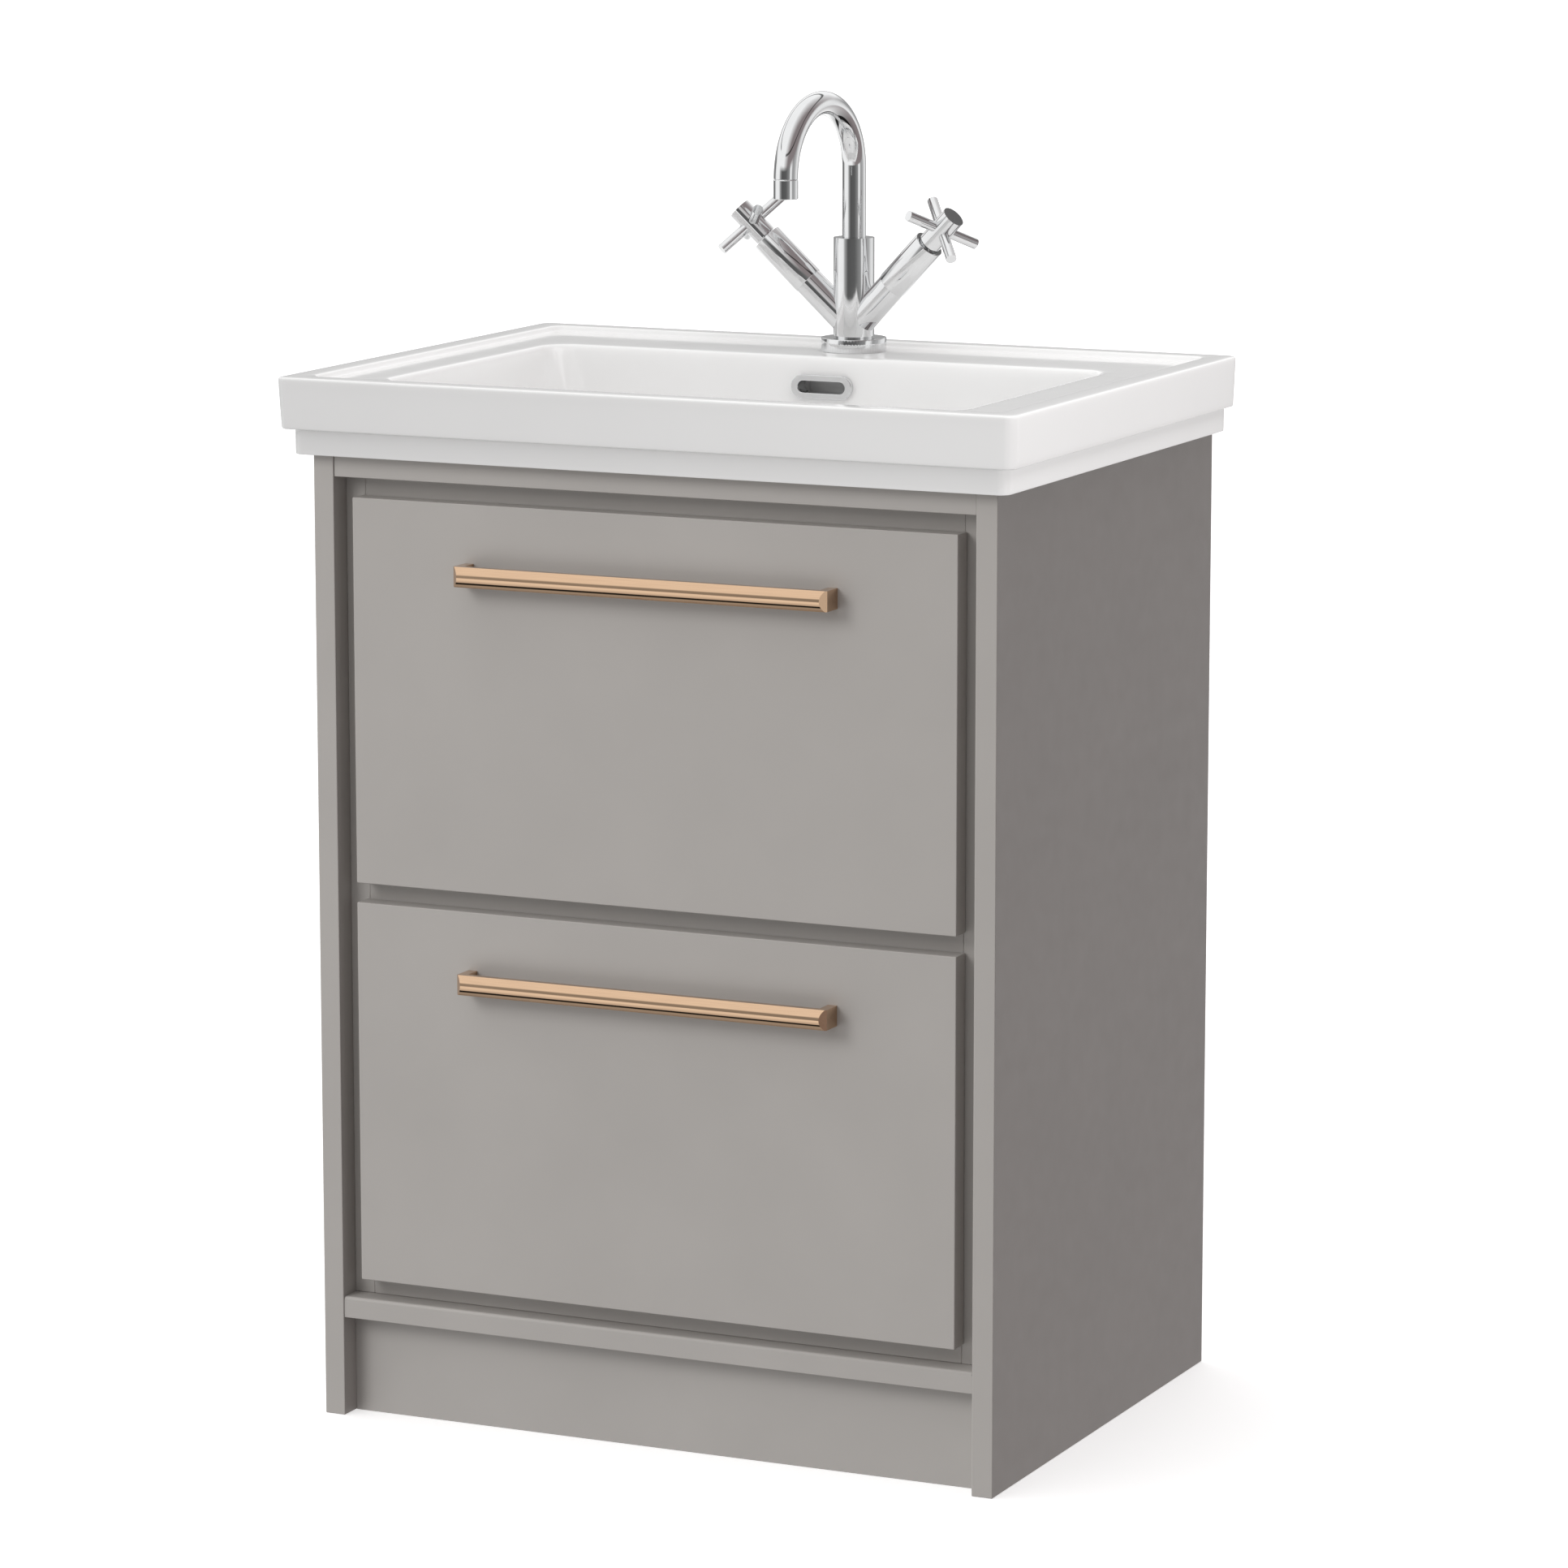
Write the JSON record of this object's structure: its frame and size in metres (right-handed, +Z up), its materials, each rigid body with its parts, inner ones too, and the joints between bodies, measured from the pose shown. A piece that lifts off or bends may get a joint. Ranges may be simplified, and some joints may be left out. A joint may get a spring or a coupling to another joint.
{
  "type": "bathroom vanity cabinet",
  "caption": "Floor-standing bathroom vanity cabinet with pull-out drawers under a ceramic basin and a swivel-spout mixer tap.",
  "frame": {"origin": "on the floor, in the middle of the object's outer box", "axes": "+Z up, the drawers face -Y, +X to the viewer's right"},
  "size_m": [0.646, 0.479, 1.08],
  "materials": {
    "cabinet_paint": "satin taupe-grey lacquer on board",
    "drawer_board": "pale laminated board",
    "ceramic": "white gloss glaze",
    "chrome": "polished",
    "copper": "polished rose-gold plating",
    "zinc_steel": "bright zinc plating",
    "brass": "turned",
    "rubber": "matt black"
  },
  "bodies": {
    "cabinet": {"side_panel_left": "cabinet_paint", "side_panel_right": "cabinet_paint", "carcass_side_left": "cabinet_paint", "carcass_side_right": "cabinet_paint", "top_front_rail": "cabinet_paint", "inner_top_rail": "cabinet_paint", "mid_rail": "cabinet_paint", "stop_rail": "cabinet_paint", "bottom_board": "cabinet_paint", "plinth": "cabinet_paint", "wall_rail": "drawer_board", "back_panel": "drawer_board", "upper_cabinet_runner_left": "zinc_steel", "upper_cabinet_runner_right": "zinc_steel", "lower_cabinet_runner_left": "zinc_steel", "lower_cabinet_runner_right": "zinc_steel", "basin": "ceramic", "overflow_ring": "chrome", "waste_body": "chrome", "waste_gasket": "rubber", "waste_nut": "brass", "tap_flange": "chrome", "tap_gasket": "rubber", "tap_body": "chrome", "tap_stud": "zinc_steel", "tap_clamp_plate": "zinc_steel", "tap_nut": "brass", "hot_sleeve": "chrome", "cold_sleeve": "chrome", "hot_cartridge": "brass", "cold_cartridge": "brass"},
    "upper_drawer": {"upper_front": "cabinet_paint", "upper_side_left": "drawer_board", "upper_side_right": "drawer_board", "upper_back_left": "drawer_board", "upper_back_right": "drawer_board", "upper_base": "drawer_board", "upper_pipe_guard": "drawer_board", "upper_handle": "copper", "upper_handle_screws": "zinc_steel", "upper_drawer_runner_left": "zinc_steel", "upper_drawer_runner_right": "zinc_steel"},
    "lower_drawer": {"lower_front": "cabinet_paint", "lower_side_left": "drawer_board", "lower_side_right": "drawer_board", "lower_back": "drawer_board", "lower_base": "drawer_board", "lower_handle": "copper", "lower_handle_screws": "zinc_steel", "lower_drawer_runner_left": "zinc_steel", "lower_drawer_runner_right": "zinc_steel"},
    "upper_slides": {"upper_middle_runners": "zinc_steel"},
    "lower_slides": {"lower_middle_runners": "zinc_steel"},
    "spout_swivel": {"spout": "chrome", "aerator": "chrome"},
    "hot_handle": {"hot_spindle": "brass", "hot_crosshead": "chrome"},
    "cold_handle": {"cold_spindle": "brass", "cold_crosshead": "chrome"},
    "plug": {"waste_plug": "chrome"}
  },
  "joints": [
    {"name": "upper_drawer_slide", "type": "slide", "parent": "cabinet", "child": "upper_drawer", "axis": [0, -1, 0], "range_m": [0, 0.36]},
    {"name": "upper_runner_slide", "type": "slide", "parent": "cabinet", "child": "upper_slides", "axis": [0, -1, 0], "range_m": [0, 0.18]},
    {"name": "lower_drawer_slide", "type": "slide", "parent": "cabinet", "child": "lower_drawer", "axis": [0, -1, 0], "range_m": [0, 0.36]},
    {"name": "lower_runner_slide", "type": "slide", "parent": "cabinet", "child": "lower_slides", "axis": [0, -1, 0], "range_m": [0, 0.18]},
    {"name": "spout_turn", "type": "hinge", "parent": "cabinet", "child": "spout_swivel", "pos_m": [0, 0.1785, 0.954], "axis": [0, 0, 1], "range_deg": [-60, 60]},
    {"name": "hot_valve_turn", "type": "hinge", "parent": "cabinet", "child": "hot_handle", "pos_m": [-0.08693, 0.16339, 0.96448], "axis": [-0.6997, -0.1216, 0.704], "range_deg": [0, 90]},
    {"name": "cold_valve_turn", "type": "hinge", "parent": "cabinet", "child": "cold_handle", "pos_m": [0.08693, 0.16339, 0.96448], "axis": [0.6997, -0.1216, 0.704], "range_deg": [-90, 0]},
    {"name": "plug_press", "type": "slide", "parent": "cabinet", "child": "plug", "axis": [0, 0, -1], "range_m": [0, 0.006]}
  ],
  "couplings": [
    {"joint": "upper_runner_slide", "follows": "upper_drawer_slide", "ratio": 0.5},
    {"joint": "lower_runner_slide", "follows": "lower_drawer_slide", "ratio": 0.5}
  ]
}
